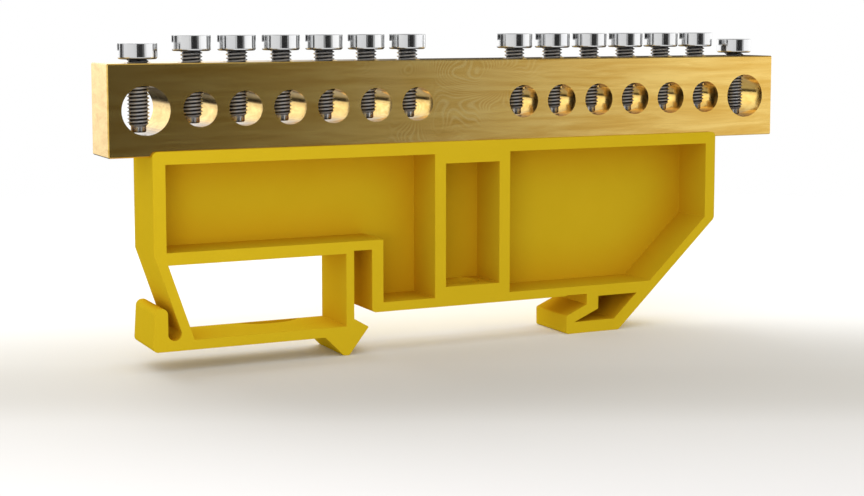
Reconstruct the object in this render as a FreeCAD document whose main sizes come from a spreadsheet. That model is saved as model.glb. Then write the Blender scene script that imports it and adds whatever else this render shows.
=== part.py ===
"""Earth terminal bar: a drilled brass bar with fourteen clamp screws, carried on a yellow
moulded support that clips onto a 35 mm rail.

All sizes are in millimetres. X runs along the bar, the wire holes open towards -Y and +Y,
and Z is up. The origin is below the middle of the bar, on the surface that the catch and
the hook of the support stand on.
"""
import FreeCAD, Part
import os
import Sketcher

# Every size that can be set by itself, with its own name
SIZES = [
    ("bar_length", 103.0, "brass bar, end to end"),
    ("bar_depth", 8.0, "brass bar, front to back"),
    ("bar_height", 12.0, "brass bar, underside to top"),
    ("bar_edge_break", 0.15, "chamfer that breaks the bar's sharp edges"),
    ("wire_hole_diameter", 4.6, "holes for the circuit wires"),
    ("end_hole_diameter", 6.4, "holes for the two thick wires at the ends"),
    ("holes_each_side", 6, "wire holes on each side of the middle"),
    ("end_margin", 5.0, "from the bar's end to the axis of its end hole"),
    ("middle_pitches", 2.68, "plain middle of the bar, in pitches of the wire holes"),
    ("end_pitches", 1.16, "from the last wire hole to the end hole, in pitches"),
    ("row_forward", 0.8, "row of terminal screws, in front of the bar's mid depth"),
    ("row_outward", 0.15, "each terminal screw, further out than the axis of its wire hole"),
    ("mouth_chamfer", 0.3, "chamfer at the mouth of each tapped hole"),
    ("screw_diameter", 2.9, "outside of an M3 thread"),
    ("thread_clearance", 0.05, "radial gap between a thread and its tapped hole"),
    ("screw_length", 9.4, "terminal screw, from under the head to the tip"),
    ("head_diameter", 5.1, "cheese head"),
    ("head_height", 2.05, "cheese head"),
    ("head_under_radius", 0.3, "round on the lower edge of the head"),
    ("head_top_chamfer", 0.12, "chamfer on the upper edge of the head"),
    ("slot_width", 0.8, "driver slot"),
    ("slot_depth", 0.9, "driver slot"),
    ("point_diameter", 2.0, "dog point that presses on the wire"),
    ("point_length", 0.8, "dog point that presses on the wire"),
    ("tip_gap", 0.05, "terminal screw run right in, above what stops it: hole floor or top of the bar"),
    ("fixing_length", 8.0, "countersunk fixing screw, over all"),
    ("fixing_head_diameter", 5.4, "countersunk head"),
    ("fixing_head_rim", 0.15, "straight rim of the countersunk head"),
    ("fixing_recess", 0.1, "countersunk head, sunk into the ceiling of its pocket"),
    ("fixing_clearance", 0.05, "gap round the countersunk head"),
    ("fixing_hole_diameter", 3.2, "clearance hole of the fixing screw"),
    ("fixing_hole_depth", 6.8, "blind tapped hole in the underside of the bar"),
    ("support_depth", 9.0, "moulded support, front to back"),
    ("left_reach", 45.95, "from the middle of the bar to the support's left face"),
    ("right_reach", 40.9, "from the middle of the bar to the support's right face"),
    ("bar_seat", 28.0, "height of the seat under the bar"),
    ("rail_seat", 5.6, "height of the seat on the rail"),
    ("lip_height", 0.7, "lips that hold the bar, above its seat"),
    ("lip_corner_radius", 0.7, "round at both ends of the lips"),
    ("channel_clearance", 0.05, "gap between the bar and each lip"),
    ("pocket_depth", 7.0, "front pockets, leaving a web at the back"),
    ("pocket_ceiling", 1.0, "wall between the bar's seat and the two side pockets"),
    ("side_wall", 1.7, "left and right walls of the side pockets"),
    ("rib", 1.7, "ribs beside the middle pocket"),
    ("pocket_floor", 1.3, "wall between the side pockets and the rail seat"),
    ("deck_wall", 1.65, "wall between the left pocket and the clip window"),
    ("middle_pocket_width", 8.4, "pocket of the fixing screw"),
    ("middle_ceiling", 2.35, "wall that the fixing screw clamps"),
    ("middle_floor", 2.75, "wall with the driver hole"),
    ("driver_hole_diameter", 5.8, "way in for the fixing screw and its driver"),
    ("window_top", 13.95, "height of the ceiling of the clip window"),
    ("left_bend", 15.4, "height where the spring arm starts on the left face"),
    ("arm_lean", 18.8, "spring arm, degrees from upright"),
    ("arm_width", 1.4, "spring arm, measured level"),
    ("tab_width", 1.75, "release tab"),
    ("tab_top", 8.4, "height of the top of the release tab"),
    ("tab_flare", 0.35, "how far the foot of the tab leans out"),
    ("tab_foot_radius", 0.7, "round at the foot of the tab"),
    ("tab_slot_floor", 4.1, "height of the floor of the slot behind the tab"),
    ("round_flat", 0.05, "flat left between two rounds that all but meet, on the tab and in that slot"),
    ("latch_bar_top", 4.0, "height of the top of the level bar of the clip"),
    ("latch_bar_wall", 1.3, "level bar of the clip"),
    ("catch_wall", 1.15, "upright wall that carries the catch"),
    ("catch_face", 18.1, "from the middle of the bar to the face of that wall"),
    ("catch_top", 4.95, "height where the catch leaves its wall"),
    ("catch_tip", 3.7, "height of the tip of the catch"),
    ("catch_reach", 2.15, "tip of the catch, out from its wall"),
    ("catch_tip_radius", 0.15, "round on the tip"),
    ("catch_slope", 2.9, "from the tip back to the foot of the catch"),
    ("catch_foot", 0.8, "flat foot of the catch"),
    ("catch_foot_radius", 0.35, "round on the foot"),
    ("spring_gap", 2.65, "gap that lets the catch move back"),
    ("spring_gap_top", 14.3, "height of the top of that gap"),
    ("step_wall", 1.7, "wall between that gap and the left pocket"),
    ("step_radius", 0.6, "round where that wall meets the rail seat"),
    ("rail_width", 35.0, "top hat rail over its flanges"),
    ("rail_play", 0.05, "rail in the hook"),
    ("catch_overlap", 0.4, "how far the tip reaches under the rail"),
    ("slot_end_height", 1.45, "slot of the hook at its closed end"),
    ("slot_relief", 0.1, "how much higher than the rail seat the slot's ceiling is"),
    ("hook_length", 3.4, "from the closed end of the slot to the nose"),
    ("nose_height", 2.7, "nose of the hook"),
    ("nose_radius", 0.3, "round on the two corners of the nose"),
    ("right_bend", 15.65, "height where the slanting wall starts on the right face"),
    ("right_bend_radius", 1.0, "round at that bend"),
    ("heel_reach", 24.15, "from the middle of the bar to the heel of the hook"),
    ("heel_radius", 0.5, "round on the heel"),
    ("slant_wall", 2.0, "slanting wall beside the right pocket, measured level"),
    ("hook_web", 1.95, "wall between the slot and the small pocket in the hook"),
    ("hook_shelf", 1.6, "wall above the nose, measured upright"),
    ("hook_sole", 1.7, "wall under the small pocket"),
    ("hook_slant", 2.6, "slanting wall beside the small pocket, measured level"),
    ("hook_pocket_drop", 0.35, "ceiling of the small pocket below the rail seat"),
    ("gate_radius", 5.8, "round of the gate relief on the level bar"),
    ("gate_place", 27.45, "from the middle of the bar to the gate relief"),
    ("gate_centre", 8.1, "from mid depth back to the centre of the gate relief"),
    ("gate_rim", 0.3, "rim left behind the gate relief"),
    ("gate_depth", 0.3, "gate relief"),
]

doc = FreeCAD.newDocument("EarthTerminalBar")
sheet = doc.addObject("Spreadsheet::Sheet", "Sizes")
for row, (alias, value, meaning) in enumerate(SIZES, start=1):
    sheet.set(f"A{row}", meaning)
    sheet.set(f"B{row}", str(value))
    sheet.setAlias(f"B{row}", alias)
doc.recompute()


def value_of(text):
    """Give the number that a formula on the sheet's sizes stands for."""
    return float(sheet.evalExpression(text))


def new_body(label):
    """Start a sub-part, whose label names its file."""
    body = doc.addObject("PartDesign::Body", label)
    body.Label = label
    return body


def new_sketch(body, name, plane, lift="0"):
    """Start a sketch on one of the body's own planes, moved along that plane's normal."""
    sketch = body.newObject("Sketcher::SketchObject", name)
    support = next(o for o in body.Origin.OriginFeatures if o.Role == plane)
    sketch.AttachmentSupport = [(support, "")]
    sketch.MapMode = "FlatFace"
    sketch.setExpression("AttachmentOffset.Base.z", lift)
    return sketch


def pin_point(sketch, edge, end, across, up):
    """Tie one point of a sketch to a pair of formulas."""
    for kind, text in (("DistanceX", across), ("DistanceY", up)):
        rule = Sketcher.Constraint(kind, -1, 1, edge, end, value_of(text))
        index = sketch.addConstraint(rule)
        sketch.setExpression(f"Constraints[{index}]", text)


def add_outline(sketch, corners):
    """Add a closed outline of straight lines; each corner is a pair of formulas."""
    spots = [FreeCAD.Vector(value_of(x), value_of(y), 0) for x, y in corners]
    following = spots[1:] + spots[:1]
    edges = [sketch.addGeometry(Part.LineSegment(a, b), False) for a, b in zip(spots, following)]
    for edge, next_edge in zip(edges, edges[1:] + edges[:1]):
        sketch.addConstraint(Sketcher.Constraint("Coincident", edge, 2, next_edge, 1))
    for edge, (x, y) in zip(edges, corners):
        pin_point(sketch, edge, 1, x, y)


def add_circle(sketch, x, y, diameter):
    """Add a circle; its centre and diameter are formulas."""
    centre = FreeCAD.Vector(value_of(x), value_of(y), 0)
    circle = Part.Circle(centre, FreeCAD.Vector(0, 0, 1), value_of(diameter) / 2)
    edge = sketch.addGeometry(circle, False)
    pin_point(sketch, edge, 3, x, y)
    index = sketch.addConstraint(Sketcher.Constraint("Diameter", edge, value_of(diameter)))
    sketch.setExpression(f"Constraints[{index}]", diameter)


def pad(body, name, sketch, length):
    """Raise a sketch to both sides of its plane."""
    feature = body.newObject("PartDesign::Pad", name)
    feature.Profile = sketch
    feature.SideType = "Symmetric"
    feature.setExpression("Length", length)
    doc.recompute()
    return feature


def cut(body, name, sketch, depth=None, reverse=False):
    """Cut a sketch into the body, to a depth or, with none, right through both ways."""
    feature = body.newObject("PartDesign::Pocket", name)
    feature.Profile = sketch
    if depth is None:
        feature.SideType = "Symmetric"
        feature.Type = "ThroughAll"
    else:
        feature.setExpression("Length", depth)
        feature.Reversed = reverse
    doc.recompute()
    return feature


def turn(body, name, kind, sketch):
    """Turn a sketch once round its upright axis; kind is Revolution or Groove."""
    feature = body.newObject(f"PartDesign::{kind}", name)
    feature.Profile = sketch
    feature.ReferenceAxis = (sketch, ["V_Axis"])
    feature.Angle = 360
    doc.recompute()
    return feature


def dress(body, name, kind, size, wanted):
    """Fillet or chamfer the edges of the body's last feature that wanted() picks."""
    base = body.Tip
    names = [f"Edge{i}" for i, e in enumerate(base.Shape.Edges, start=1) if wanted(e)]
    feature = body.newObject(f"PartDesign::{kind}", name)
    feature.Base = (base, names)
    feature.setExpression("Radius" if kind == "Fillet" else "Size", size)
    doc.recompute()
    return feature


# How near a picked edge has to be to its place
NEAR = 0.01


def edge_along_y(x, z):
    """Pick the straight front-to-back edges that pass through a place given by formulas."""
    place_x, place_z = value_of(x), value_of(z)

    def wanted(edge):
        box = edge.BoundBox
        near = abs(box.Center.x - place_x) < NEAR and abs(box.Center.z - place_z) < NEAR
        return near and box.XLength < NEAR and box.ZLength < NEAR

    return wanted


def ring_at(height, diameter):
    """Pick the round edges of one diameter at one height, both given by formulas."""
    level, radius = value_of(height), value_of(diameter) / 2

    def wanted(edge):
        if not isinstance(edge.Curve, Part.Circle) or abs(edge.Curve.Radius - radius) > NEAR:
            return False
        return edge.BoundBox.ZLength < NEAR and abs(edge.BoundBox.ZMin - level) < NEAR

    return wanted


# Places along the bar, as formulas: two rows of wire holes that fill it and an end hole at each end
HALF_BAR = "Sizes.bar_length / 2"
END_HOLE = f"({HALF_BAR} - Sizes.end_margin)"
COUNT = int(value_of("Sizes.holes_each_side"))
PITCH = f"({END_HOLE} / (Sizes.middle_pitches / 2 + {COUNT - 1} + Sizes.end_pitches))"
STEPS = [f"(Sizes.middle_pitches / 2 + {i}) * {PITCH}" for i in range(COUNT)]
WIRE_HOLES = [f"-{step}" for step in reversed(STEPS)] + STEPS
OUTWARD = [f"({step} + Sizes.row_outward)" for step in STEPS + [END_HOLE]]
SCREW_ROW = [f"-{place}" for place in reversed(OUTWARD)] + OUTWARD
BAR_TOP = "Sizes.bar_seat + Sizes.bar_height"
HOLE_HEIGHT = "Sizes.bar_seat + Sizes.bar_height / 2"
TAPPED = "Sizes.screw_diameter + 2 * Sizes.thread_clearance"


def make_bar():
    """The brass bar: sawn from drawn flat stock, cross drilled for wires and tapped from the top."""
    body = new_body("brass_bar")
    outline = new_sketch(body, "BarOutline", "XZ_Plane")
    corners = [(f"-{HALF_BAR}", "Sizes.bar_seat"), (HALF_BAR, "Sizes.bar_seat")]
    corners += [(HALF_BAR, BAR_TOP), (f"-{HALF_BAR}", BAR_TOP)]
    add_outline(outline, corners)
    pad(body, "Bar", outline, "Sizes.bar_depth")
    dress(body, "BarEdges", "Chamfer", "Sizes.bar_edge_break", lambda edge: True)

    wire_holes = new_sketch(body, "WireHoleSketch", "XZ_Plane")
    for place in WIRE_HOLES:
        add_circle(wire_holes, place, HOLE_HEIGHT, "Sizes.wire_hole_diameter")
    for place in (f"-{END_HOLE}", END_HOLE):
        add_circle(wire_holes, place, HOLE_HEIGHT, "Sizes.end_hole_diameter")
    cut(body, "WireHoles", wire_holes)

    tapped_holes = new_sketch(body, "TappedHoleSketch", "XY_Plane", BAR_TOP)
    for place in SCREW_ROW:
        add_circle(tapped_holes, place, "-Sizes.row_forward", TAPPED)
    cut(body, "TappedHoles", tapped_holes, "Sizes.bar_height / 2")
    dress(body, "TappedHoleMouths", "Chamfer", "Sizes.mouth_chamfer", ring_at(BAR_TOP, TAPPED))

    fixing_hole = new_sketch(body, "FixingHoleSketch", "XY_Plane", "Sizes.bar_seat")
    add_circle(fixing_hole, "0", "0", TAPPED)
    cut(body, "FixingHole", fixing_hole, "Sizes.fixing_hole_depth", reverse=True)
    return body


def make_terminal_screw(label, place, hole_diameter):
    """A slotted M3 cheese head screw with a dog point, run right in: its tip stops on the floor
    of the wire hole or, where the screw is too short for that, its head stops on the bar."""
    body = new_body(label)
    profile = new_sketch(body, f"{label}_profile", "XZ_Plane")
    head, shank, point = (f"Sizes.{part}_diameter / 2" for part in ("head", "screw", "point"))
    thread_end = "-(Sizes.screw_length - Sizes.point_length)"
    corners = [("0", "Sizes.head_height"), (head, "Sizes.head_height"), (head, "0"), (shank, "0")]
    corners += [(shank, f"{thread_end} + {shank} - {point}"), (point, thread_end)]
    corners += [(point, "-Sizes.screw_length"), ("0", "-Sizes.screw_length")]
    add_outline(profile, corners)
    turn(body, f"{label}_turned", "Revolution", profile)
    under_rim = ring_at("0", "Sizes.head_diameter")
    dress(body, f"{label}_under_rim", "Fillet", "Sizes.head_under_radius", under_rim)
    top_rim = ring_at("Sizes.head_height", "Sizes.head_diameter")
    dress(body, f"{label}_top_rim", "Chamfer", "Sizes.head_top_chamfer", top_rim)

    slot = new_sketch(body, f"{label}_slot_sketch", "XY_Plane", "Sizes.head_height")
    along, across = "Sizes.head_diameter", "Sizes.slot_width / 2"
    corners = [(f"-{along}", f"-{across}"), (along, f"-{across}"), (along, across), (f"-{along}", across)]
    add_outline(slot, corners)
    cut(body, f"{label}_slot", slot, "Sizes.slot_depth")
    lowest = "(Sizes.point_diameter + 2 * Sizes.row_outward)"
    floor = f"{HOLE_HEIGHT} - sqrt({hole_diameter} ^ 2 - {lowest} ^ 2) / 2"
    body.setExpression("Placement.Base.x", place)
    body.setExpression("Placement.Base.y", "-Sizes.row_forward")
    stop = f"max({floor} + Sizes.screw_length; {BAR_TOP})"
    body.setExpression("Placement.Base.z", f"{stop} + Sizes.tip_gap")
    return body


# Heights and places on the support that several of its features share, as formulas
LEFT = "-Sizes.left_reach"
RIGHT = "Sizes.right_reach"
LIP_TOP = "Sizes.bar_seat + Sizes.lip_height"
FRONT = "Sizes.support_depth / 2"
MIDDLE_CEILING = "(Sizes.bar_seat - Sizes.middle_ceiling)"
CATCH_FACE = "-Sizes.catch_face"
TIP = "(-Sizes.catch_face + Sizes.catch_reach)"
STEP = "(-Sizes.catch_face + Sizes.spring_gap)"
SLOT_END = f"({TIP} - Sizes.catch_overlap + Sizes.rail_width + Sizes.rail_play)"
NOSE = f"({SLOT_END} - Sizes.hook_length)"
SLOT_FLOOR = "(Sizes.rail_seat - Sizes.slot_end_height)"
LATCH_BAR_UNDER = "(Sizes.latch_bar_top - Sizes.latch_bar_wall)"
FOOT = f"({TIP} - Sizes.catch_slope)"
NOSE_RISE = f"(({SLOT_FLOOR} - Sizes.nose_height) / Sizes.hook_length)"


def on_arm(height, width="0"):
    """Place on the leaning spring arm at a height, measured level from its outer line."""
    drop = f"(Sizes.left_bend - {height})"
    return f"(-Sizes.left_reach + {drop} * tan(Sizes.arm_lean * 1 deg) + {width})"


def on_slant(height, wall):
    """Place inside the slanting right wall at a height, a wall's width in from its outside."""
    run = "(Sizes.right_reach - Sizes.heel_reach) / Sizes.right_bend"
    return f"(Sizes.heel_reach + {height} * {run} - {wall})"


def make_support():
    """The yellow support: one moulding with pockets, a spring clip on the left and a hook on the right."""
    body = new_body("insulator")
    outline = new_sketch(body, "SupportOutline", "XZ_Plane")
    tab_left = f"({LEFT} - Sizes.tab_flare)"
    tab_right = f"({LEFT} + Sizes.tab_width)"
    slot_ceiling = "Sizes.rail_seat + Sizes.slot_relief"
    seat_end = f"({NOSE} - Sizes.slot_relief)"
    top_and_hook = [(LEFT, LIP_TOP), (RIGHT, LIP_TOP), (RIGHT, "Sizes.right_bend")]
    top_and_hook += [("Sizes.heel_reach", "0"), (NOSE, "0"), (NOSE, "Sizes.nose_height")]
    top_and_hook += [(SLOT_END, SLOT_FLOOR), (SLOT_END, slot_ceiling), (seat_end, slot_ceiling)]
    seat_and_catch = [(seat_end, "Sizes.rail_seat"), (STEP, "Sizes.rail_seat")]
    seat_and_catch += [(STEP, "Sizes.spring_gap_top"), (CATCH_FACE, "Sizes.spring_gap_top")]
    seat_and_catch += [(CATCH_FACE, "Sizes.catch_top"), (TIP, "Sizes.catch_tip"), (FOOT, "0")]
    heel = f"({FOOT} - Sizes.catch_foot)"
    seat_and_catch += [(heel, "0"), (f"({heel} - {LATCH_BAR_UNDER})", LATCH_BAR_UNDER)]
    tab = [(tab_left, LATCH_BAR_UNDER), (LEFT, "Sizes.tab_top"), (tab_right, "Sizes.tab_top")]
    tab += [(tab_right, "Sizes.tab_slot_floor"), (on_arm("Sizes.tab_slot_floor"), "Sizes.tab_slot_floor")]
    add_outline(outline, top_and_hook + seat_and_catch + tab + [(LEFT, "Sizes.left_bend")])

    window_right = f"({CATCH_FACE} - Sizes.catch_wall)"
    window = [(on_arm("Sizes.window_top", "Sizes.arm_width"), "Sizes.window_top")]
    window += [(window_right, "Sizes.window_top"), (window_right, "Sizes.latch_bar_top")]
    window += [(on_arm("Sizes.latch_bar_top", "Sizes.arm_width"), "Sizes.latch_bar_top")]
    add_outline(outline, window)
    pad(body, "Support", outline, "Sizes.support_depth")

    tab_round = "(Sizes.tab_width - Sizes.round_flat) / 2"
    slot_floor = "Sizes.tab_slot_floor"
    slot_share = "(1 + 1 / tan(45 deg - Sizes.arm_lean * 0.5 deg))"
    slot_round = f"({on_arm(slot_floor)} - {tab_right} - Sizes.round_flat) / {slot_share}"
    rounds = {
        "LipLeft": (LEFT, LIP_TOP, "Sizes.lip_corner_radius"),
        "LipRight": (RIGHT, LIP_TOP, "Sizes.lip_corner_radius"),
        "RightBend": (RIGHT, "Sizes.right_bend", "Sizes.right_bend_radius"),
        "Heel": ("Sizes.heel_reach", "0", "Sizes.heel_radius"),
        "NoseFoot": (NOSE, "0", "Sizes.nose_radius"),
        "NoseTop": (NOSE, "Sizes.nose_height", "Sizes.nose_radius"),
        "Step": (STEP, "Sizes.rail_seat", "Sizes.step_radius"),
        "CatchTip": (TIP, "Sizes.catch_tip", "Sizes.catch_tip_radius"),
        "CatchFoot": (FOOT, "0", "Sizes.catch_foot_radius"),
        "CatchHeel": (heel, "0", "Sizes.catch_foot_radius"),
        "TabFoot": (tab_left, LATCH_BAR_UNDER, "Sizes.tab_foot_radius"),
        "TabTopLeft": (LEFT, "Sizes.tab_top", tab_round),
        "TabTopRight": (tab_right, "Sizes.tab_top", tab_round),
        "TabSlotLeft": (tab_right, slot_floor, slot_round),
        "TabSlotRight": (on_arm(slot_floor), slot_floor, slot_round),
    }
    for name, (x, z, radius) in rounds.items():
        dress(body, name, "Fillet", radius, edge_along_y(x, z))

    channel = new_sketch(body, "ChannelSketch", "XY_Plane", LIP_TOP)
    side = "(Sizes.bar_depth / 2 + Sizes.channel_clearance)"
    corners = [(LEFT, f"-{side}"), (RIGHT, f"-{side}"), (RIGHT, side), (LEFT, side)]
    add_outline(channel, corners)
    cut(body, "Channel", channel, "Sizes.lip_height")

    pockets = new_sketch(body, "PocketSketch", "XZ_Plane", FRONT)
    ceiling = "(Sizes.bar_seat - Sizes.pocket_ceiling)"
    floor = "(Sizes.rail_seat + Sizes.pocket_floor)"
    deck = "(Sizes.window_top + Sizes.deck_wall)"
    pocket_left = f"({LEFT} + Sizes.side_wall)"
    left_inner = "-(Sizes.middle_pocket_width / 2 + Sizes.rib)"
    step_inner = f"({STEP} + Sizes.step_wall)"
    corners = [(pocket_left, ceiling), (left_inner, ceiling), (left_inner, floor)]
    corners += [(step_inner, floor), (step_inner, deck), (pocket_left, deck)]
    add_outline(pockets, corners)
    half = "Sizes.middle_pocket_width / 2"
    middle_floor = "(Sizes.rail_seat + Sizes.middle_floor)"
    corners = [(f"-{half}", MIDDLE_CEILING), (half, MIDDLE_CEILING)]
    corners += [(half, middle_floor), (f"-{half}", middle_floor)]
    add_outline(pockets, corners)
    right_inner = "(Sizes.middle_pocket_width / 2 + Sizes.rib)"
    pocket_right = f"({RIGHT} - Sizes.side_wall)"
    reach = "(Sizes.right_reach - Sizes.side_wall + Sizes.slant_wall - Sizes.heel_reach)"
    inner_bend = f"({reach} * Sizes.right_bend / (Sizes.right_reach - Sizes.heel_reach))"
    corners = [(right_inner, ceiling), (pocket_right, ceiling), (pocket_right, inner_bend)]
    corners += [(on_slant(floor, "Sizes.slant_wall"), floor), (right_inner, floor)]
    add_outline(pockets, corners)
    cut(body, "Pockets", pockets, "Sizes.pocket_depth")

    hook_pocket = new_sketch(body, "HookPocketSketch", "XZ_Plane", FRONT)
    hook_ceiling = "(Sizes.rail_seat - Sizes.hook_pocket_drop)"
    hook_left = f"({SLOT_END} + Sizes.hook_web)"
    shelf_end = f"({SLOT_FLOOR} + Sizes.hook_web * {NOSE_RISE} - Sizes.hook_shelf)"
    sole_left = f"({hook_left} - ({shelf_end} - Sizes.hook_sole) / {NOSE_RISE})"
    corners = [(hook_left, hook_ceiling), (on_slant(hook_ceiling, "Sizes.hook_slant"), hook_ceiling)]
    corners += [(on_slant("Sizes.hook_sole", "Sizes.hook_slant"), "Sizes.hook_sole")]
    corners += [(sole_left, "Sizes.hook_sole"), (hook_left, shelf_end)]
    add_outline(hook_pocket, corners)
    cut(body, "HookPocket", hook_pocket, "Sizes.pocket_depth")

    driver_hole = new_sketch(body, "DriverHoleSketch", "XY_Plane", "Sizes.rail_seat")
    add_circle(driver_hole, "0", "0", "Sizes.driver_hole_diameter")
    cut(body, "DriverHole", driver_hole, "Sizes.middle_floor", reverse=True)

    screw_hole = new_sketch(body, "ScrewHoleSketch", "XZ_Plane")
    mouth = "(Sizes.fixing_head_diameter / 2 + Sizes.fixing_clearance)"
    hole = "Sizes.fixing_hole_diameter / 2"
    rim = f"({MIDDLE_CEILING} + Sizes.fixing_recess + Sizes.fixing_head_rim)"
    corners = [("0", MIDDLE_CEILING), (mouth, MIDDLE_CEILING), (mouth, rim)]
    corners += [(hole, f"{rim} + {mouth} - {hole}"), (hole, "Sizes.bar_seat"), ("0", "Sizes.bar_seat")]
    add_outline(screw_hole, corners)
    turn(body, "ScrewHole", "Groove", screw_hole)

    gate = new_sketch(body, "GateSketch", "XY_Plane", "Sizes.latch_bar_top")
    add_gate_outline(gate)
    cut(body, "GateRelief", gate, "Sizes.gate_depth")
    return body


def add_gate_outline(sketch):
    """Add the gate relief's outline: a round that a straight rim at the back cuts off."""
    centre_x, centre_y = "-Sizes.gate_place", "Sizes.gate_centre"
    rim = "(Sizes.support_depth / 2 - Sizes.gate_rim)"
    half_chord = f"sqrt(Sizes.gate_radius ^ 2 - ({rim} - {centre_y}) ^ 2)"
    centre = FreeCAD.Vector(value_of(centre_x), value_of(centre_y), 0)
    left = FreeCAD.Vector(value_of(f"{centre_x} - {half_chord}"), value_of(rim), 0)
    right = FreeCAD.Vector(value_of(f"{centre_x} + {half_chord}"), value_of(rim), 0)
    front = centre - FreeCAD.Vector(0, value_of("Sizes.gate_radius"), 0)
    arc = sketch.addGeometry(Part.Arc(left, front, right), False)
    chord = sketch.addGeometry(Part.LineSegment(right, left), False)
    sketch.addConstraint(Sketcher.Constraint("Coincident", arc, 2, chord, 1))
    sketch.addConstraint(Sketcher.Constraint("Coincident", arc, 1, chord, 2))
    pin_point(sketch, arc, 3, centre_x, centre_y)
    pin_point(sketch, arc, 1, f"{centre_x} - {half_chord}", rim)
    index = sketch.addConstraint(Sketcher.Constraint("DistanceY", -1, 1, arc, 2, value_of(rim)))
    sketch.setExpression(f"Constraints[{index}]", rim)


def make_fixing_screw():
    """The slotted M3 countersunk screw that holds the bar, driven upwards from the middle pocket."""
    body = new_body("fixing_screw")
    profile = new_sketch(body, "FixingProfile", "XZ_Plane")
    head, shank = "Sizes.fixing_head_diameter / 2", "Sizes.screw_diameter / 2"
    point = "Sizes.point_diameter / 2"
    corners = [("0", "0"), (head, "0"), (head, "Sizes.fixing_head_rim")]
    corners += [(shank, f"Sizes.fixing_head_rim + {head} - {shank}")]
    corners += [(shank, f"Sizes.fixing_length - {shank} + {point}")]
    corners += [(point, "Sizes.fixing_length"), ("0", "Sizes.fixing_length")]
    add_outline(profile, corners)
    turn(body, "FixingTurned", "Revolution", profile)

    slot = new_sketch(body, "FixingSlotSketch", "XY_Plane")
    along, across = "Sizes.fixing_head_diameter", "Sizes.slot_width / 2"
    corners = [(f"-{along}", f"-{across}"), (along, f"-{across}"), (along, across), (f"-{along}", across)]
    add_outline(slot, corners)
    cut(body, "FixingSlot", slot, "Sizes.slot_depth", reverse=True)
    body.setExpression("Placement.Base.z", f"{MIDDLE_CEILING} + Sizes.fixing_recess")
    return body


parts = [make_support(), make_bar(), make_fixing_screw()]
for number, place in enumerate(SCREW_ROW, start=1):
    at_end = number in (1, len(SCREW_ROW))
    diameter = "Sizes.end_hole_diameter" if at_end else "Sizes.wire_hole_diameter"
    parts.append(make_terminal_screw(f"terminal_screw_{number:02d}", place, diameter))
doc.recompute()

for item in doc.Objects:
    if any(state in ("Invalid", "Error") for state in item.State):
        raise RuntimeError(f"{item.Label} failed: {item.State}")
os.makedirs("parts", exist_ok=True)
for part in parts:
    if part.Shape.isNull() or not part.Shape.isValid():
        raise RuntimeError(f"{part.Label} has no valid shape")
    part.Shape.exportStep(f"parts/{part.Label}.step")
    print(part.Label, len(part.Shape.Solids), round(part.Shape.Volume, 2))
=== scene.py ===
"""The earth terminal bar as it is seen: yellow moulded support, brushed brass bar, plated steel screws."""

import math

import bmesh
import bpy
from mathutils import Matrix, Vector


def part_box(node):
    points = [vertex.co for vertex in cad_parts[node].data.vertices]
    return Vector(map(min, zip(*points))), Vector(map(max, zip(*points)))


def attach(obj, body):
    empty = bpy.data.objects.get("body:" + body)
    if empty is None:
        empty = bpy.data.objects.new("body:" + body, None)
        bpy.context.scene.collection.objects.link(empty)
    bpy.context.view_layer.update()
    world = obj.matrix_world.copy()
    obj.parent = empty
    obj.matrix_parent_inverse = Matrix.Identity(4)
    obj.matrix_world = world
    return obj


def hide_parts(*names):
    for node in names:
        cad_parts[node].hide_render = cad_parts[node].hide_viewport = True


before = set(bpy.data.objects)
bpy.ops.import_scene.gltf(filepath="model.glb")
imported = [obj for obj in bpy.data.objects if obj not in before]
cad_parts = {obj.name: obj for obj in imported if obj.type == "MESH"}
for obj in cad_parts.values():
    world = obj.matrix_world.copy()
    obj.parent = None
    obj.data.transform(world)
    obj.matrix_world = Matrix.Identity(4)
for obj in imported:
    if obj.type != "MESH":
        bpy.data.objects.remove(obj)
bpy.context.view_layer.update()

# Support

# One moulding of yellow polyamide: a channel for the bar, open pockets, a sprung clip and a hook.
# It is moulded in a satin tool whose edges are broken, so its corners are a little round.
MM = 0.001


def linear(hex_colour):
    """Turn an sRGB hex colour into the linear one that a node wants."""
    channels = [int(hex_colour[i:i + 2], 16) / 255 for i in (1, 3, 5)]
    return [c / 12.92 if c <= 0.04045 else ((c + 0.055) / 1.055) ** 2.4 for c in channels] + [1.0]


def add_node(tree, kind, inputs=None, stops=(), **settings):
    """Add one node; an input takes a value or the socket that feeds it, and a ramp takes its stops."""
    node = tree.nodes.new(kind)
    for name, value in settings.items():
        setattr(node, name, value)
    for key, value in (inputs or {}).items():
        if isinstance(value, bpy.types.NodeSocket):
            tree.links.new(value, node.inputs[key])
        else:
            node.inputs[key].default_value = value
    if stops:
        elements = node.color_ramp.elements
        while len(elements) < len(stops):
            elements.new(0.5)
        for element, (position, colour) in zip(elements, stops):
            element.position = position
            element.color = colour
    return node


def new_material(name):
    """Start a material; give it and its empty node tree."""
    material = bpy.data.materials.new(name)
    material.use_nodes = True
    material.node_tree.nodes.clear()
    return material, material.node_tree


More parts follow.
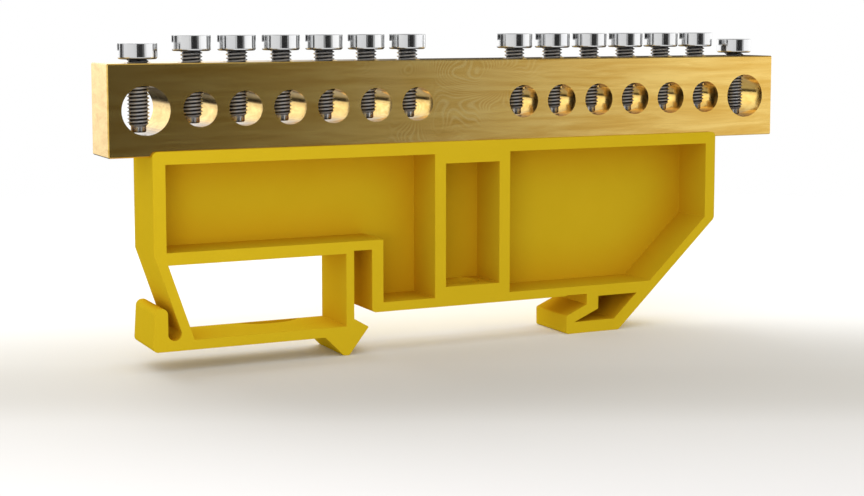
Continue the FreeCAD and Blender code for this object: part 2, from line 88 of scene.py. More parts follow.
def moulded_polyamide():
    """Unfilled polyamide 6 as moulded: an even satin yellow, faintly cloudy, with painted amber shade in
    pockets.
    """
    material, tree = new_material("moulded_polyamide")
    place = add_node(tree, "ShaderNodeTexCoord").outputs["Object"]
    # Melt that cooled at different speeds leaves clouds about 6 mm across in colour and gloss
    clouds = add_node(tree, "ShaderNodeTexNoise", {"Vector": place, "Scale": 1 / (6 * MM), "Detail": 3.0})
    colour = add_node(tree, "ShaderNodeMix", {"Factor": clouds.outputs["Fac"], "A": linear("#C7A81B"),
                                              "B": linear("#CDAE21")}, data_type="RGBA")
    gloss = add_node(tree, "ShaderNodeMapRange", {"Value": clouds.outputs["Fac"], "To Min": 0.5,
                                                  "To Max": 0.6})
    # The tool's own fine texture is near 0.05 mm, too fine to show, so it is drawn at 0.25 mm
    grain = add_node(tree, "ShaderNodeTexNoise", {"Vector": place, "Scale": 1 / (0.25 * MM), "Detail": 2.0})
    bump = add_node(tree, "ShaderNodeBump", {"Height": grain.outputs["Fac"], "Strength": 0.12,
                                             "Distance": 0.02 * MM})
    # Painted shade: pockets are painted a darker amber, for light bounced about in them and through the
    # plastic
    open_share = add_node(tree, "ShaderNodeAmbientOcclusion", {"Distance": 7 * MM}, samples=8,
                          only_local=True).outputs["AO"]
    pocket_shade = add_node(tree, "ShaderNodeMapRange", {"Value": open_share, "From Min": 1.0, "From Max": 0.3,
                                                 "To Max": 0.6})
    shaded_yellow = add_node(tree, "ShaderNodeMix", {"Factor": pocket_shade.outputs["Result"], "A": colour.outputs["Result"],
                                            "B": linear("#C88A0C")}, data_type="RGBA")
    # The sheen is off: at a slant it would bleach the side faces, and the real ones keep their full yellow.
    shader = add_node(tree, "ShaderNodeBsdfPrincipled", {
        "Base Color": shaded_yellow.outputs["Result"], "Roughness": gloss.outputs["Result"], "IOR": 1.53,
        "Specular IOR Level": 0.0, "Normal": bump.outputs["Normal"]})
    add_node(tree, "ShaderNodeOutputMaterial", {"Surface": shader.outputs["BSDF"]})
    return material


JOIN_WITHIN = 0.001 * MM
FLAT_WITHIN = math.radians(1)
SHARP_ABOVE = math.radians(35)


def eased_copy(node, name, ease, material):
    """Copy a CAD node, join its loose triangles and ease its sharp edges by a real radius."""
    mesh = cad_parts[node].data.copy()
    work = bmesh.new()
    work.from_mesh(mesh)
    bmesh.ops.remove_doubles(work, verts=work.verts, dist=JOIN_WITHIN)
    bmesh.ops.dissolve_limit(work, angle_limit=FLAT_WITHIN, verts=work.verts, edges=work.edges)
    work.to_mesh(mesh)
    work.free()
    mesh.materials.clear()
    mesh.materials.append(material)
    piece = bpy.data.objects.new(name, mesh)
    bpy.context.scene.collection.objects.link(piece)
    bevel = piece.modifiers.new("eased_edges", "BEVEL")
    bevel.width = ease
    bevel.segments = 2
    bevel.limit_method = "ANGLE"
    bevel.angle_limit = SHARP_ABOVE
    mesh.shade_smooth()
    # Flat faces keep their own normals, so that only the eased edges look round
    normals = piece.modifiers.new("flat_faces", "WEIGHTED_NORMAL")
    normals.mode = "FACE_AREA"
    normals.weight = 100
    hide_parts(node)
    return piece


SUPPORT_EASE = 0.14 * MM
support = eased_copy("insulator", "moulded_support", SUPPORT_EASE, moulded_polyamide())
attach(support, "bar_on_support")

# Brass bar

# Free-cutting brass flat, drawn and then linished along its length, cross drilled and tapped.
# The belt leaves fine level lines in its front and back; the drill leaves its holes brighter.
PLAIN_MIDDLE = (-6 * MM, -4 * MM, 34 * MM)


def linished_brass():
    """Drawn brass linished along X: gold with darker level streaks and a few sheaves of fine curls."""
    material, tree = new_material("linished_brass")
    place = add_node(tree, "ShaderNodeTexCoord").outputs["Object"]
    # Streaks left by the belt: about 14 mm long and 1.2 mm high
    long_place = add_node(tree, "ShaderNodeMapping", {
        "Vector": place, "Scale": (1 / (14 * MM), 1 / (3 * MM), 1 / (1.2 * MM))})
    streaks = add_node(tree, "ShaderNodeTexNoise", {"Vector": long_place.outputs["Vector"], "Scale": 1.0,
                                                    "Detail": 5.0, "Roughness": 0.62, "Distortion": 0.5})
    # Single belt lines are near 0.03 mm apart, too fine to show, so they are drawn at 0.18 mm
    fine_place = add_node(tree, "ShaderNodeMapping", {
        "Vector": place, "Scale": (1 / (9 * MM), 1 / (0.6 * MM), 1 / (0.18 * MM))})
    lines = add_node(tree, "ShaderNodeTexNoise", {"Vector": fine_place.outputs["Vector"], "Scale": 1.0,
                                                  "Detail": 3.0, "Roughness": 0.7})
    tone = add_node(tree, "ShaderNodeMapRange", {"Value": streaks.outputs["Fac"], "From Min": 0.35,
                                                 "From Max": 0.65})
    colour = add_node(tree, "ShaderNodeMix", {"Factor": tone.outputs["Result"], "A": linear("#E6B859"),
                                              "B": linear("#FBD67C")}, data_type="RGBA")
    # Rubbing against other bars leaves sheaves of fine curls, some 0.35 mm apart. They are full within
    # 8 mm of the plain middle and end 24 mm from it
    swirl = add_node(tree, "ShaderNodeTexNoise", {"Vector": place, "Scale": 1 / (8 * MM), "Detail": 0.6})
    phase = add_node(tree, "ShaderNodeMath", {0: swirl.outputs["Fac"], 1: 300.0}, operation="MULTIPLY")
    curl = add_node(tree, "ShaderNodeMath", {0: phase.outputs[0]}, operation="SINE").outputs[0]
    curl = add_node(tree, "ShaderNodeMapRange", {"Value": curl, "From Min": -0.3, "To Max": 0.55})
    patches = add_node(tree, "ShaderNodeTexNoise", {"Vector": place, "Scale": 1 / (7 * MM), "Detail": 1.0})
    patch = add_node(tree, "ShaderNodeMapRange", {"Value": patches.outputs["Fac"], "From Min": 0.42,
                                                  "From Max": 0.6})
    off_middle = add_node(tree, "ShaderNodeVectorMath", {0: place, 1: PLAIN_MIDDLE},
                          operation="DISTANCE").outputs["Value"]
    middle = add_node(tree, "ShaderNodeMapRange", {"Value": off_middle, "From Min": 24 * MM,
                                                   "From Max": 8 * MM})
    there = add_node(tree, "ShaderNodeMath", {0: patch.outputs["Result"], 1: middle.outputs["Result"]},
                     operation="MULTIPLY")
    scratched = add_node(tree, "ShaderNodeMath", {0: curl.outputs["Result"], 1: there.outputs[0]},
                         operation="MULTIPLY")
    colour = add_node(tree, "ShaderNodeMix", {"Factor": scratched.outputs[0], "A": colour.outputs["Result"],
                                              "B": linear("#FFE196")}, data_type="RGBA")
    # Front and back are linished and dull the room a little; sawn ends and drilled walls mirror it
    facing = add_node(tree, "ShaderNodeSeparateXYZ", {"Vector": add_node(
        tree, "ShaderNodeNewGeometry").outputs["True Normal"]}).outputs
    linished = add_node(tree, "ShaderNodeMath", {0: facing["Y"]}, operation="ABSOLUTE").outputs[0]
    gloss = add_node(tree, "ShaderNodeMapRange", {"Value": linished, "From Min": 0.3, "From Max": 0.9,
                                                  "To Min": 0.17, "To Max": 0.23})
    # Painted shade: the upward floors of the wire holes, at heights of 30 to 38 mm, are painted dark brown
    floors = add_node(tree, "ShaderNodeMapRange", {"Value": facing["Z"], "From Min": 0.7, "From Max": 0.97,
                                                   "To Max": 0.9})
    height = add_node(tree, "ShaderNodeSeparateXYZ", {"Vector": place}).outputs["Z"]
    inside = add_node(tree, "ShaderNodeMath", {0: height, 1: 38 * MM}, operation="LESS_THAN")
    floor_shade = add_node(tree, "ShaderNodeMath", {0: floors.outputs["Result"], 1: inside.outputs[0]},
                     operation="MULTIPLY")
    shaded_brass = add_node(tree, "ShaderNodeMix", {"Factor": floor_shade.outputs[0], "A": colour.outputs["Result"],
                                               "B": linear("#4E3412")}, data_type="RGBA")
    bump = add_node(tree, "ShaderNodeBump", {"Height": lines.outputs["Fac"], "Strength": 0.25,
                                             "Distance": 0.01 * MM})
    shader = add_node(tree, "ShaderNodeBsdfPrincipled", {
        "Base Color": shaded_brass.outputs["Result"], "Metallic": 1.0, "Roughness": gloss.outputs["Result"],
        "Normal": bump.outputs["Normal"]})
    add_node(tree, "ShaderNodeOutputMaterial", {"Surface": shader.outputs["BSDF"]})
    return material


BAR_EASE = 0.06 * MM
bar = eased_copy("brass_bar", "linished_bar", BAR_EASE, linished_brass())
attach(bar, "bar_on_support")

# Terminal screws

# M3 cheese head screws of steel, cold headed, with rolled threads and a turned dog point.
# They are zinc plated and bright passivated, so they mirror the room in hard upright bands.
SCREWS = 14
HEAD_RADIUS = 2.55 * MM
HEAD_HEIGHT = 2.05 * MM
HEAD_SIDES = 64
HEAD_EDGE = 0.07 * MM
HEAD_SHARP_ABOVE = math.radians(50)
UNDER_ROUND = 0.3 * MM
SLOT_WIDTH = 0.8 * MM
SLOT_DEPTH = 0.9 * MM
SHANK = 9.4 * MM
POINT_RADIUS = 1.0 * MM
POINT_LENGTH = 0.8 * MM
POINT_SIDES = 32
POINT_CHAMFER = 0.12 * MM
POINT_IN_CORE = 0.1 * MM
THREAD_RADIUS = 1.47 * MM
THREAD_CORE = 1.2 * MM
THREAD_PITCH = 0.475 * MM
THREAD_SIDES = 48
THREAD_FORM_POINTS = 9
THREAD_CRISP_ABOVE = math.radians(20)
FLANK_END = 0.375
UNDER_HEAD = 0.15 * MM
SHADE_LINE = -1 * MM


def bright_zinc():
    """Zinc plated steel with a clear passivate: near white, mirror bright, faintly mottled."""
    material, tree = new_material("bright_zinc")
    place = add_node(tree, "ShaderNodeTexCoord").outputs["Object"]
    # The passivate film varies over about 2 mm, which the eye sees as a slight haze
    film = add_node(tree, "ShaderNodeTexNoise", {"Vector": place, "Scale": 1 / (2 * MM), "Detail": 3.0})
    colour = add_node(tree, "ShaderNodeMix", {"Factor": film.outputs["Fac"], "A": linear("#D6D7DA"),
                                              "B": linear("#E6E6E4")}, data_type="RGBA")
    gloss = add_node(tree, "ShaderNodeMapRange", {"Value": film.outputs["Fac"], "To Min": 0.12,
                                                  "To Max": 0.2})
    # The rolled shank is duller than the head, and its 0.27 mm deep roots are painted near black as shade
    rolled = add_node(tree, "ShaderNodeAttribute", attribute_name="rolled").outputs["Fac"]
    root = add_node(tree, "ShaderNodeAttribute", attribute_name="root").outputs["Fac"]
    painted_shade = add_node(tree, "ShaderNodeMath", {0: root, 1: 1.4}, operation="POWER").outputs[0]
    shank = add_node(tree, "ShaderNodeMix", {"Factor": painted_shade, "A": linear("#E8E8EA"), "B": linear("#100E0D")},
                     data_type="RGBA")
    below_head = add_node(tree, "ShaderNodeMath", {0: rolled, 1: root}, operation="MAXIMUM").outputs[0]
    plated = add_node(tree, "ShaderNodeMix", {"Factor": below_head, "A": colour.outputs["Result"],
                                              "B": shank.outputs["Result"]}, data_type="RGBA")
    metal = add_node(tree, "ShaderNodeMapRange", {"Value": rolled, "To Min": 1.0, "To Max": 0.6})
    shader = add_node(tree, "ShaderNodeBsdfPrincipled", {
        "Base Color": plated.outputs["Result"], "Metallic": metal.outputs["Result"],
        "Roughness": gloss.outputs["Result"]})
    add_node(tree, "ShaderNodeOutputMaterial", {"Surface": shader.outputs["BSDF"]})
    return material


def turned(profile, around):
    """Spin a profile of (radius, height) points, from axis to axis, into a closed mesh of flat sides."""
    work = bmesh.new()
    rings = []
    for radius, height in profile:
        if radius == 0:
            rings.append([work.verts.new((0, 0, height))])
            continue
        angles = [2 * math.pi * step / around for step in range(around)]
        rings.append([work.verts.new((radius * math.cos(a), radius * math.sin(a), height)) for a in angles])
    for lower, upper in zip(rings, rings[1:]):
        for step in range(around):
            following = (step + 1) % around
            corners = [lower[step % len(lower)], lower[following % len(lower)]]
            corners += [upper[following % len(upper)], upper[step % len(upper)]]
            work.faces.new(list(dict.fromkeys(corners)))
    bmesh.ops.recalc_face_normals(work, faces=work.faces)
    return work


def round_edge(centre_radius, centre_height, radius, start, stop, steps=5):
    """Points of an arc in a profile, from one angle to another in degrees."""
    angles = [math.radians(start + (stop - start) * step / steps) for step in range(steps + 1)]
    return [(centre_radius + radius * math.cos(a), centre_height + radius * math.sin(a)) for a in angles]


def as_object(work, name, material):
    """Make an object of a mesh under work."""
    mesh = bpy.data.meshes.new(name)
    work.to_mesh(mesh)
    work.free()
    mesh.materials.append(material)
    made = bpy.data.objects.new(name, mesh)
    bpy.context.scene.collection.objects.link(made)
    return made


def settled(made):
    """Give the mesh of an object with its modifiers carried out, and remove the object."""
    graph = bpy.context.evaluated_depsgraph_get()
    mesh = bpy.data.meshes.new_from_object(made.evaluated_get(graph))
    bpy.data.objects.remove(made)
    return mesh


def headed_blank(material):
    """The screw before threading: a slotted cheese head and, well below it, the dog point."""
    profile = [(0, 0)] + round_edge(HEAD_RADIUS - UNDER_ROUND, UNDER_ROUND, UNDER_ROUND, -90, 0)
    profile += [(HEAD_RADIUS, HEAD_HEIGHT), (0, HEAD_HEIGHT)]
    head = as_object(turned(profile, HEAD_SIDES), "head", material)
    cutter_work = bmesh.new()
    bmesh.ops.create_cube(cutter_work, size=1)
    for vert in cutter_work.verts:
        vert.co = Vector((vert.co.x * 4 * HEAD_RADIUS, vert.co.y * SLOT_WIDTH,
                          HEAD_HEIGHT + vert.co.z * 2 * SLOT_DEPTH))
    cutter = as_object(cutter_work, "slot_cutter", material)
    slotting = head.modifiers.new("slot", "BOOLEAN")
    slotting.object = cutter
    slotting.solver = "EXACT"
    edges = head.modifiers.new("edges", "BEVEL")
    edges.width = HEAD_EDGE
    edges.segments = 2
    edges.limit_method = "ANGLE"
    edges.angle_limit = HEAD_SHARP_ABOVE
    mesh = settled(head)
    bpy.data.objects.remove(cutter)

    blank = bmesh.new()
    blank.from_mesh(mesh)
    point_top = -SHANK + POINT_LENGTH + POINT_IN_CORE
    point = [(0, -SHANK), (POINT_RADIUS - POINT_CHAMFER, -SHANK), (POINT_RADIUS, -SHANK + POINT_CHAMFER)]
    point += [(POINT_RADIUS, point_top), (0, point_top)]
    point_work = turned(point, POINT_SIDES)
    point_mesh = bpy.data.meshes.new("point")
    point_work.to_mesh(point_mesh)
    point_work.free()
    blank.from_mesh(point_mesh)
    blank.to_mesh(mesh)
    blank.free()
    mesh.materials.clear()
    mesh.materials.append(material)
    return mesh


# The sums that wind a flat strip into the helix: each row has the result, the sum and what goes in.
# One turn follows another along the strip's X, and one thread form lies across its Y. The flanks are
# near 60 degrees and end 0.375 of a pitch from the sharp rolled crest, at a root a quarter pitch wide.
HELIX_SUMS = [
    ("pitches", "DIVIDE", "Length", "Pitch"), ("whole pitches", "CEIL", "pitches"),
    ("turns", "ADD", "whole pitches", 2.0), ("steps", "MULTIPLY", "turns", THREAD_SIDES),
    ("columns", "ADD", "steps", 1.0), ("along", "ADD", "x", 0.5), ("wound", "MULTIPLY", "along", "turns"),
    ("across", "ADD", "y", 0.5), ("angle", "MULTIPLY", "wound", -2 * math.pi),
    ("pitches down", "ADD", "wound", "across"), ("pitches up", "SUBTRACT", 1.0, "pitches down"),
    ("free height", "MULTIPLY", "pitches up", "Pitch"), ("foot", "MULTIPLY", "Length", -1.0),
    ("above foot", "MAXIMUM", "free height", "foot"), ("height", "MINIMUM", "above foot", 0.0),
    ("aside", "SUBTRACT", "across", 0.5), ("off crest", "ABSOLUTE", "aside"),
    ("down flank", "DIVIDE", "off crest", FLANK_END), ("root", "MINIMUM", "down flank", 1.0),
    ("depth", "SUBTRACT", "Outer radius", "Core radius"), ("sunk", "MULTIPLY", "root", "depth"),
    ("form radius", "SUBTRACT", "Outer radius", "sunk"), ("from foot", "ADD", "height", "Length"),
    ("cone radius", "ADD", "Point radius", "from foot"), ("radius", "MINIMUM", "form radius", "cone radius"),
    ("cosine", "COSINE", "angle"), ("helix x", "MULTIPLY", "radius", "cosine"),
    ("sine", "SINE", "angle"), ("helix y", "MULTIPLY", "radius", "sine")]
# The underside of the head gets the roots' painted shade, and the bright turned point a little of it
SHADE_SUMS = [
    ("below head", "LESS_THAN", "z", UNDER_HEAD), ("above line", "GREATER_THAN", "z", SHADE_LINE),
    ("under head", "MULTIPLY", "below head", "above line"), ("below line", "LESS_THAN", "z", SHADE_LINE),
    ("on point", "MULTIPLY", "below line", 0.6), ("painted_shade", "MAXIMUM", "under head", "on point"),
    ("above point", "GREATER_THAN", "z", "foot"), ("rolled", "MULTIPLY", "below head", "above point")]


def rolled_thread(material):
    """Geometry Nodes that roll a thread onto a blank and stand the screw at its place."""
    tree = bpy.data.node_groups.new("rolled_thread", "GeometryNodeTree")
    face = tree.interface
    face.new_socket("Geometry", in_out="INPUT", socket_type="NodeSocketGeometry")
    face.new_socket("Geometry", in_out="OUTPUT", socket_type="NodeSocketGeometry")
    sizes = {"Outer radius": THREAD_RADIUS, "Core radius": THREAD_CORE, "Pitch": THREAD_PITCH,
             "Length": SHANK - POINT_LENGTH, "Point radius": POINT_RADIUS}
    for name, value in sizes.items():
        face.new_socket(name, in_out="INPUT", socket_type="NodeSocketFloat").default_value = value
    face.new_socket("Place", in_out="INPUT", socket_type="NodeSocketVector")
    group = add_node(tree, "NodeGroupInput").outputs

    spot = add_node(tree, "ShaderNodeSeparateXYZ",
                    {"Vector": add_node(tree, "GeometryNodeInputPosition").outputs[0]}).outputs
    known = {"x": spot["X"], "y": spot["Y"], "z": spot["Z"]}
    known.update({name: group[name] for name in sizes})
    for result, operation, *terms in HELIX_SUMS + SHADE_SUMS:
        inputs = {index: known.get(term, term) for index, term in enumerate(terms)}
        known[result] = add_node(tree, "ShaderNodeMath", inputs, operation=operation).outputs[0]

    strip = add_node(tree, "GeometryNodeMeshGrid", {
        "Size X": 1.0, "Size Y": 1.0, "Vertices X": known["columns"], "Vertices Y": THREAD_FORM_POINTS})
    # The material reads how far down towards the root each point lies and paints the roots dark as shade
    rooted = add_node(tree, "GeometryNodeStoreNamedAttribute", {
        "Geometry": strip.outputs["Mesh"], "Name": "root", "Value": known["root"]},
        data_type="FLOAT", domain="POINT")
    helix = add_node(tree, "ShaderNodeCombineXYZ", {"X": known["helix x"], "Y": known["helix y"],
                                                    "Z": known["height"]})
    thread = add_node(tree, "GeometryNodeSetPosition", {"Geometry": rooted.outputs[0],
                                                        "Position": helix.outputs[0]})
    closed = add_node(tree, "GeometryNodeMergeByDistance", {"Geometry": thread.outputs[0],
                                                            "Distance": 2 * JOIN_WITHIN})
    # Round the helix the light runs smoothly, but crest, flanks and root stay apart
    fold = add_node(tree, "GeometryNodeInputMeshEdgeAngle").outputs["Unsigned Angle"]
    crisp = add_node(tree, "FunctionNodeCompare", {"A": fold, "B": THREAD_CRISP_ABOVE}, data_type="FLOAT",
                     operation="GREATER_THAN").outputs["Result"]
    all_smooth = add_node(tree, "GeometryNodeSetShadeSmooth", {"Geometry": closed.outputs[0]})
    smooth = add_node(tree, "GeometryNodeSetShadeSmooth", {
        "Geometry": all_smooth.outputs[0], "Selection": crisp, "Shade Smooth": False}, domain="EDGE")
    # On the blank the same attribute holds the painted shade under the head and on the point
    shaded_blank = add_node(tree, "GeometryNodeStoreNamedAttribute", {
        "Geometry": group["Geometry"], "Name": "root", "Value": known["painted_shade"]},
        data_type="FLOAT", domain="POINT")
    joined = add_node(tree, "GeometryNodeJoinGeometry")
    tree.links.new(smooth.outputs[0], joined.inputs[0])
    tree.links.new(shaded_blank.outputs[0], joined.inputs[0])
    marked = add_node(tree, "GeometryNodeStoreNamedAttribute", {
        "Geometry": joined.outputs[0], "Name": "rolled", "Value": known["rolled"]},
        data_type="FLOAT", domain="POINT")
    stood = add_node(tree, "GeometryNodeTransform", {"Geometry": marked.outputs[0],
                                                     "Translation": group["Place"]})
    real = add_node(tree, "GeometryNodeRealizeInstances", {"Geometry": stood.outputs[0]})
    finished = add_node(tree, "GeometryNodeSetMaterial", {"Geometry": real.outputs[0], "Material": material})
    add_node(tree, "NodeGroupOutput", {"Geometry": finished.outputs[0]})
    return tree


zinc = bright_zinc()
blank_mesh = headed_blank(zinc)
thread_tree = rolled_thread(zinc)
place_input = next(item.identifier for item in thread_tree.interface.items_tree if item.name == "Place")
for number in range(1, SCREWS + 1):
    node = f"terminal_screw_{number:02d}"
    low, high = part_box(node)
    place = Vector(((low.x + high.x) / 2, (low.y + high.y) / 2, low.z + SHANK))
    blank = bpy.data.objects.new("blank", blank_mesh.copy())
    bpy.context.scene.collection.objects.link(blank)
    rolling = blank.modifiers.new("thread", "NODES")
    rolling.node_group = thread_tree
    rolling[place_input] = place
    screw = bpy.data.objects.new(f"clamp_screw_{number:02d}", settled(blank))
    bpy.context.scene.collection.objects.link(screw)
    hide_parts(node)
    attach(screw, node)

# Fixing screw

# The countersunk screw in the ceiling of the middle pocket pulls the bar down onto its seat.
# It is plated as the others are, and only its slotted head can be seen, from below.
fixing_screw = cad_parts["fixing_screw"]
fixing_screw.data.materials.clear()
fixing_screw.data.materials.append(zinc)

# Studio

# A pale floor that runs on into a white background, a high and a low soft box, and a white room with
# dark flags. The flags give polished metal its dark bands, and nothing but its reflections shows them.
FLOOR_SIZE = 4000 * MM
# Level directions over the floor: the one that the camera looks along, and the one to its right
AWAY = (0.434, 0.901, 0)
RIGHTWARDS = (0.901, -0.434, 0)


def pale_floor():
    """Floor with a painted shadow, pale grey round the part and, further off, one with the white background.
    """
    material, tree = new_material("pale_floor")
    place = add_node(tree, "ShaderNodeTexCoord").outputs["Object"]
    distance = add_node(tree, "ShaderNodeVectorMath", {0: place}, operation="LENGTH").outputs["Value"]
    fade = add_node(tree, "ShaderNodeMapRange", {
        "Value": distance, "From Min": 90 * MM, "From Max": 220 * MM}, interpolation_type="SMOOTHSTEP")
    # A painted shadow: the paint is greyest in a soft strip in front of the part and paler on both sides of
    # it
    across = add_node(tree, "ShaderNodeVectorMath", {0: place, 1: AWAY},
                      operation="DOT_PRODUCT").outputs["Value"]
    shadow_band = add_node(tree, "ShaderNodeMapRange", {"Value": across, "From Min": -80 * MM, "From Max": 20 * MM})
    shade = add_node(tree, "ShaderNodeValToRGB", {"Fac": shadow_band.outputs["Result"]}, stops=[
        (0.0, linear("#EDEBEA")), (0.3, linear("#E2E0DC")), (0.42, linear("#D0CDC7")),
        (0.62, linear("#D8D5CE")), (1.0, linear("#FFFFFD"))])
    shade.color_ramp.interpolation = "B_SPLINE"
    aside = add_node(tree, "ShaderNodeVectorMath", {0: place, 1: RIGHTWARDS},
                     operation="DOT_PRODUCT").outputs["Value"]
    # The painted shadow is also a little darker towards the right
    shadow_rightwards = add_node(tree, "ShaderNodeMapRange", {"Value": aside, "From Min": -45 * MM,
                                                       "From Max": 5 * MM, "To Min": 1.0, "To Max": 0.97})
    paint_colour = add_node(tree, "ShaderNodeVectorMath", {0: shade.outputs["Color"]}, operation="SCALE")
    tree.links.new(shadow_rightwards.outputs["Result"], paint_colour.inputs["Scale"])
    paint = add_node(tree, "ShaderNodeBsdfDiffuse", {"Color": paint_colour.outputs["Vector"]})
    # Past the fade the floor lets rays through to the room, whose white or dark flags then show
    gone = add_node(tree, "ShaderNodeBsdfTransparent")
    path = add_node(tree, "ShaderNodeLightPath").outputs
    seen = add_node(tree, "ShaderNodeMath", {0: path["Is Camera Ray"], 1: path["Is Glossy Ray"]},
                    operation="MAXIMUM").outputs[0]
    share = add_node(tree, "ShaderNodeMath", {0: fade.outputs["Result"], 1: seen}, operation="MULTIPLY")
    share = add_node(tree, "ShaderNodeMath", {0: share.outputs[0], 1: path["Is Glossy Ray"]},
                     operation="MAXIMUM")
    mixed = add_node(tree, "ShaderNodeMixShader", {0: share.outputs[0], 1: paint.outputs[0],
                                                   2: gone.outputs[0]})
    add_node(tree, "ShaderNodeOutputMaterial", {"Surface": mixed.outputs[0]})
    return material


floor_work = bmesh.new()
bmesh.ops.create_grid(floor_work, x_segments=1, y_segments=1, size=FLOOR_SIZE / 2)
floor = as_object(floor_work, "studio_floor", pale_floor())

world = bpy.data.worlds.new("studio")
bpy.context.scene.world = world
world.use_nodes = True
world_tree = world.node_tree
world_tree.nodes.clear()
direction = add_node(world_tree, "ShaderNodeTexCoord").outputs["Generated"]
axes = add_node(world_tree, "ShaderNodeSeparateXYZ", {"Vector": direction}).outputs
# Bearing from 0 to 1 once round: 0.5 faces the front of the bar, and it grows towards the bar's right end
toward = add_node(world_tree, "ShaderNodeMath", {0: axes["Y"], 1: -1.0}, operation="MULTIPLY").outputs[0]
bearing = add_node(world_tree, "ShaderNodeMath", {0: axes["X"], 1: toward}, operation="ARCTAN2").outputs[0]
bearing = add_node(world_tree, "ShaderNodeMapRange", {"Value": bearing, "From Min": -math.pi,
                                                      "From Max": math.pi})
# Degrees from the front, positive to the right, and the grey that polished metal finds there
BEARINGS = [(-180, 0.92), (-138, 0.92), (-132, 0.05), (-106, 0.05), (-100, 0.7), (-21, 0.62), (-16, 0.01),
            (18, 0.02), (24, 0.14), (29, 0.34), (33, 0.68), (37, 0.88), (128, 1.0), (134, 0.04), (155, 0.04),
            (164, 0.95)]
ramp = add_node(world_tree, "ShaderNodeValToRGB", {"Fac": bearing.outputs["Result"]}, stops=[
    ((degrees + 180) / 360, [grey] * 3 + [1]) for degrees, grey in BEARINGS])
# Height from straight down to straight up, and the share of that grey: a dark table edge lies under
# the horizon behind the part, which gives its holes their brown upper halves, and the ceiling is dim but
# for a panel straight overhead, which the flat tops of the heads mirror
HEIGHTS = [(-1.0, 0.27), (-0.36, 0.27), (-0.3, 0.01), (-0.2, 0.01), (-0.17, 0.6), (-0.1, 0.6), (0.02, 0.8),
           (0.3, 0.78), (0.6, 0.6), (0.8, 0.14), (0.93, 0.14), (0.98, 0.6), (1.0, 0.6)]
level = add_node(world_tree, "ShaderNodeMapRange", {"Value": axes["Z"], "From Min": -1.0, "From Max": 1.0})
upright = add_node(world_tree, "ShaderNodeValToRGB", {"Fac": level.outputs["Result"]}, stops=[
    ((height + 1) / 2, [grey] * 3 + [1]) for height, grey in HEIGHTS])
overhead = add_node(world_tree, "ShaderNodeMapRange", {"Value": axes["Z"], "From Min": 0.3, "From Max": 0.6})
walls = add_node(world_tree, "ShaderNodeMix", {
    "Factor": overhead.outputs["Result"], "A": ramp.outputs["Color"], "B": linear("#E0E0E0")},
    data_type="RGBA")
seen_in_metal = add_node(world_tree, "ShaderNodeMix", {
    "Factor": 1.0, "A": walls.outputs["Result"], "B": upright.outputs["Color"]}, data_type="RGBA",
    blend_type="MULTIPLY")
# In front and low down, what metal mirrors is the pale table
near = add_node(world_tree, "ShaderNodeMapRange", {"Value": axes["Y"], "From Min": 0.1, "From Max": -0.2})
under = add_node(world_tree, "ShaderNodeMapRange", {"Value": axes["Z"], "From Min": -0.2, "From Max": -0.4})
table = add_node(world_tree, "ShaderNodeMath", {0: near.outputs["Result"], 1: under.outputs["Result"]},
                 operation="MULTIPLY")
mirror = add_node(world_tree, "ShaderNodeMix", {
    "Factor": table.outputs[0], "A": seen_in_metal.outputs["Result"], "B": linear("#D0D0D0")},
    data_type="RGBA")
# Metal mirrors the lit panels themselves, which are brighter than the white things that they light
mirrored = add_node(world_tree, "ShaderNodeBackground", {
    "Color": mirror.outputs["Result"], "Strength": 1.9})
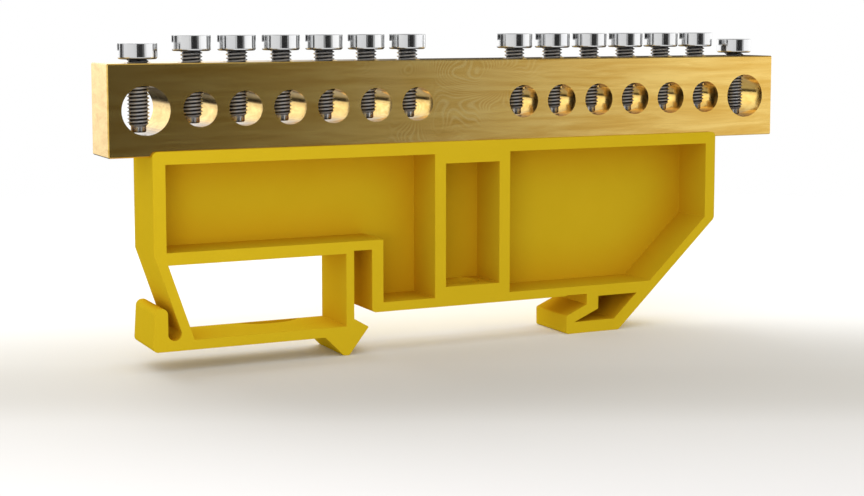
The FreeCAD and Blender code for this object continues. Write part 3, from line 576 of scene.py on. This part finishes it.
# What is dull is lit from all round, most from the camera's side and from the white background
front = add_node(world_tree, "ShaderNodeMapRange", {"Value": axes["Y"], "From Min": 0.0, "From Max": -1.0,
                                                    "To Min": 0.34, "To Max": 1.18})
back = add_node(world_tree, "ShaderNodeMapRange", {"Value": axes["Y"], "From Min": 0.0, "From Max": 1.0,
                                                   "To Max": 1.0})
sides = add_node(world_tree, "ShaderNodeMath", {0: front.outputs["Result"], 1: back.outputs["Result"]},
                 operation="ADD")
high = add_node(world_tree, "ShaderNodeMapRange", {"Value": axes["Z"], "From Min": 0.2, "From Max": 0.7})
lit = add_node(world_tree, "ShaderNodeMix", {"Factor": high.outputs["Result"], "A": sides.outputs[0],
                                             "B": 1.0}, data_type="FLOAT")
room = add_node(world_tree, "ShaderNodeBackground", {"Color": linear("#FFFFFF"),
                                                     "Strength": lit.outputs["Result"]})
light_path = add_node(world_tree, "ShaderNodeLightPath").outputs
backdrop = add_node(world_tree, "ShaderNodeBackground", {"Color": linear("#FFFFFF"), "Strength": 1.0})
glossy = add_node(world_tree, "ShaderNodeMixShader", {0: light_path["Is Glossy Ray"], 1: room.outputs[0],
                                                      2: mirrored.outputs[0]})
seen = add_node(world_tree, "ShaderNodeMath", {0: light_path["Is Camera Ray"],
                                               1: light_path["Is Transmission Ray"]}, operation="MAXIMUM")
whole = add_node(world_tree, "ShaderNodeMixShader", {0: seen.outputs[0], 1: glossy.outputs[0],
                                                     2: backdrop.outputs[0]})
add_node(world_tree, "ShaderNodeOutputWorld", {"Surface": whole.outputs[0]})


def soft_box(name, place, size, power):
    """Hang a square soft box that faces the foot of the part and that metal doesn't mirror."""
    lamp = bpy.data.lights.new(name, "AREA")
    lamp.size = size
    lamp.energy = power
    box = bpy.data.objects.new(name, lamp)
    bpy.context.scene.collection.objects.link(box)
    box.location = place
    box.rotation_euler = (Vector((0, 0, 10 * MM)) - box.location).to_track_quat("-Z", "Y").to_euler()
    box.visible_glossy = False


soft_box("key_box", Vector((-60, 330, 260)) * MM, 300 * MM, 0.8)
soft_box("low_box", Vector((-100, -130, 12)) * MM, 60 * MM, 0.07)

# Camera

# It looks at the front from the left and a little above, where the photograph was taken.
CAMERA_PLACE = Vector((-104.13, -207.5, 45.8)) * MM
DEGREES_DOWN = 5.69
DEGREES_RIGHT = 25.71
camera_data = bpy.data.cameras.new("camera")
camera_data.sensor_width = 36
camera_data.lens = 68.29
camera_data.shift_y = -0.0778
camera = bpy.data.objects.new("camera", camera_data)
bpy.context.scene.collection.objects.link(camera)
camera.location = CAMERA_PLACE
camera.rotation_euler = (math.radians(90 - DEGREES_DOWN), 0, math.radians(-DEGREES_RIGHT))
camera_data.clip_start = 10 * MM
camera_data.clip_end = 10
bpy.context.scene.camera = camera
bpy.context.scene.view_settings.view_transform = "Standard"
